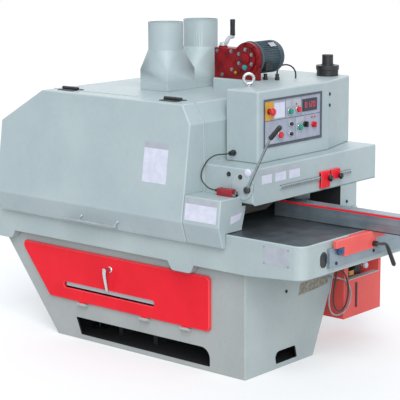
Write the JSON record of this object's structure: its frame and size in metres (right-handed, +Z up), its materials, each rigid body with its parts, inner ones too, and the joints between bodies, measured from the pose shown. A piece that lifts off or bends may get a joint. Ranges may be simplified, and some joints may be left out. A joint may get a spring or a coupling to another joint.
{
  "type": "multi rip saw",
  "caption": "Through-feed multi-blade rip saw on a leaning cabinet, with swing-up side hood, control box, dust spigots, fence and kickback fingers.",
  "frame": {"origin": "on the floor at the centre of the cabinet's footprint", "axes": "+X towards the infeed end, -Y towards the hood side, +Z up"},
  "size_m": [2.632, 1.346, 1.81],
  "materials": {
    "light_grey_paint": "satin paint",
    "base_grey_paint": "satin paint",
    "signal_red_paint": "gloss paint",
    "dark_red_paint": "gloss paint",
    "motor_paint": "satin paint",
    "table_steel": "ground",
    "bright_steel": "machined",
    "fence_aluminium": "anodised",
    "polished_metal": "polished",
    "black_steel": "satin black",
    "black_plastic": "moulded",
    "red_plastic": "moulded",
    "green_plastic": "moulded",
    "panel_plate": "satin",
    "cable_rubber": "matt"
  },
  "bodies": {
    "machine": {"base_cabinet": "base_grey_paint", "jack_screws": "bright_steel", "door_hinge_pins": "bright_steel", "bed_casting": "light_grey_paint", "table_plates": "table_steel", "upper_body": "light_grey_paint", "infeed_guard": "light_grey_paint", "press_beam": "light_grey_paint", "beam_column": "light_grey_paint", "hood_hinge_pins": "black_steel", "control_box": "light_grey_paint", "control_panel": "panel_plate", "dust_pad": "light_grey_paint", "dust_port_left": "light_grey_paint", "dust_port_right": "light_grey_paint", "lift_gearbox": "dark_red_paint", "lift_motor": "motor_paint", "lifting_eyes": "polished_metal", "cable_glands": "black_plastic", "control_cables": "cable_rubber", "power_bushing": "black_plastic", "interlock_switch": "red_plastic", "arbor_bearings": "motor_paint", "main_motor": "motor_paint", "drive_belt": "cable_rubber", "fence_rail": "bright_steel", "pointer_rail": "bright_steel", "lube_tank": "signal_red_paint", "lube_pump": "black_plastic", "lube_hoses": "cable_rubber"},
    "hood_body": {"hood": "light_grey_paint", "hood_handle": "polished_metal", "hood_hinge_leaves": "black_steel"},
    "door_body": {"service_door": "signal_red_paint"},
    "latch_body": {"door_latch": "polished_metal"},
    "arbor_body": {"saw_arbor": "bright_steel", "saw_blades": "bright_steel"},
    "motor_pulley_body": {"motor_pulley": "bright_steel"},
    "feed_front_body": {"feed_roller_front": "bright_steel"},
    "feed_rear_body": {"feed_roller_rear": "bright_steel"},
    "carriage_body": {"press_carriage": "motor_paint"},
    "press_front_body": {"press_roller_front": "cable_rubber"},
    "press_rear_body": {"press_roller_rear": "cable_rubber"},
    "crank_body": {"lift_crank": "polished_metal"},
    "fence_body": {"fence": "fence_aluminium", "fence_clamp": "signal_red_paint"},
    "fence_lever_body": {"fence_lever": "black_steel"},
    "kick_body": {"kickback_fingers": "bright_steel", "kickback_lever": "polished_metal"},
    "pointer_left_body": {"pointer_clamp_left": "signal_red_paint"},
    "pointer_right_body": {"pointer_clamp_right": "signal_red_paint"},
    "pointer_left_knob": {"pointer_knob_left": "black_plastic"},
    "pointer_right_knob": {"pointer_knob_right": "black_plastic"},
    "estop_body": {"estop_button": "red_plastic"},
    "saw_start_body": {"saw_start": "green_plastic"},
    "saw_stop_body": {"saw_stop": "red_plastic"},
    "feed_start_body": {"feed_start": "green_plastic"},
    "feed_stop_body": {"feed_stop": "red_plastic"},
    "selector_body": {"selector_knob": "black_plastic"},
    "speed_body": {"speed_knob": "red_plastic"}
  },
  "joints": [
    {"name": "hood_swing", "type": "hinge", "parent": "machine", "child": "hood_body", "pos_m": [-0.3545, -0.227, 1.4343], "axis": [-1, 0, 0], "range_deg": [0, 75]},
    {"name": "door_drop", "type": "hinge", "parent": "machine", "child": "door_body", "pos_m": [-0.1, -0.319, 0.211], "axis": [1, 0, 0], "range_deg": [0, 90]},
    {"name": "latch_turn", "type": "hinge", "parent": "door_body", "child": "latch_body", "pos_m": [-0.252, -0.32, 0.455], "axis": [0, 1, 0], "range_deg": [-85, 85]},
    {"name": "arbor_spin", "type": "hinge", "parent": "machine", "child": "arbor_body", "pos_m": [-0.22, 0, 0.927], "axis": [0, 1, 0], "continuous": true},
    {"name": "motor_spin", "type": "hinge", "parent": "machine", "child": "motor_pulley_body", "pos_m": [-0.22, 0.3, 0.4], "axis": [0, 1, 0], "continuous": true},
    {"name": "feed_front_spin", "type": "hinge", "parent": "machine", "child": "feed_front_body", "pos_m": [0.055, 0, 0.721], "axis": [0, 1, 0], "continuous": true},
    {"name": "feed_rear_spin", "type": "hinge", "parent": "machine", "child": "feed_rear_body", "pos_m": [-0.495, 0, 0.721], "axis": [0, 1, 0], "continuous": true},
    {"name": "press_lift", "type": "slide", "parent": "machine", "child": "carriage_body", "axis": [0, 0, 1], "range_m": [0, 0.06]},
    {"name": "press_front_spin", "type": "hinge", "parent": "carriage_body", "child": "press_front_body", "pos_m": [0.055, 0, 0.84], "axis": [0, 1, 0], "continuous": true},
    {"name": "press_rear_spin", "type": "hinge", "parent": "carriage_body", "child": "press_rear_body", "pos_m": [-0.495, 0, 0.84], "axis": [0, 1, 0], "continuous": true},
    {"name": "crank_turn", "type": "hinge", "parent": "machine", "child": "crank_body", "pos_m": [-0.011, 0.38, 1.66], "axis": [0, 0, 1], "range_deg": [0, 3600]},
    {"name": "fence_slide", "type": "slide", "parent": "machine", "child": "fence_body", "axis": [0, 1, 0], "range_m": [0, 0.28]},
    {"name": "fence_lever_turn", "type": "hinge", "parent": "fence_body", "child": "fence_lever_body", "pos_m": [1.157, 0.205, 0.714], "axis": [1, 0, 0], "range_deg": [-40, 45]},
    {"name": "kickback_lift", "type": "hinge", "parent": "machine", "child": "kick_body", "pos_m": [0.66, 0, 1.001], "axis": [0, 1, 0], "range_deg": [0, 40]},
    {"name": "pointer_left_slide", "type": "slide", "parent": "machine", "child": "pointer_left_body", "axis": [0, 1, 0], "range_m": [-0.3, 0.005]},
    {"name": "pointer_right_slide", "type": "slide", "parent": "machine", "child": "pointer_right_body", "axis": [0, 1, 0], "range_m": [-0.005, 0.11]},
    {"name": "pointer_left_turn", "type": "hinge", "parent": "pointer_left_body", "child": "pointer_left_knob", "pos_m": [0.708, 0.422, 0.979], "axis": [1, 0, 0], "range_deg": [-180, 180]},
    {"name": "pointer_right_turn", "type": "hinge", "parent": "pointer_right_body", "child": "pointer_right_knob", "pos_m": [0.708, 0.518, 0.979], "axis": [1, 0, 0], "range_deg": [-180, 180]},
    {"name": "estop_press", "type": "slide", "parent": "machine", "child": "estop_body", "axis": [-1, 0, 0], "range_m": [0, 0.004], "stiffness_N_per_m": 900},
    {"name": "saw_start_press", "type": "slide", "parent": "machine", "child": "saw_start_body", "axis": [-1, 0, 0], "range_m": [0, 0.004], "stiffness_N_per_m": 500},
    {"name": "saw_stop_press", "type": "slide", "parent": "machine", "child": "saw_stop_body", "axis": [-1, 0, 0], "range_m": [0, 0.004], "stiffness_N_per_m": 500},
    {"name": "feed_start_press", "type": "slide", "parent": "machine", "child": "feed_start_body", "axis": [-1, 0, 0], "range_m": [0, 0.004], "stiffness_N_per_m": 500},
    {"name": "feed_stop_press", "type": "slide", "parent": "machine", "child": "feed_stop_body", "axis": [-1, 0, 0], "range_m": [0, 0.004], "stiffness_N_per_m": 500},
    {"name": "selector_turn", "type": "hinge", "parent": "machine", "child": "selector_body", "pos_m": [0.599, 0.339, 1.276], "axis": [1, 0, 0], "range_deg": [-45, 45]},
    {"name": "speed_turn", "type": "hinge", "parent": "machine", "child": "speed_body", "pos_m": [0.599, 0.414, 1.267], "axis": [1, 0, 0], "range_deg": [-140, 140]}
  ],
  "couplings": [
    {"joint": "motor_spin", "follows": "arbor_spin", "ratio": 0.8421},
    {"joint": "feed_rear_spin", "follows": "feed_front_spin", "ratio": 1},
    {"joint": "press_front_spin", "follows": "feed_front_spin", "ratio": -1.2},
    {"joint": "press_rear_spin", "follows": "feed_front_spin", "ratio": -1.2},
    {"joint": "crank_turn", "follows": "press_lift", "rad_per_m": 1047.2}
  ]
}
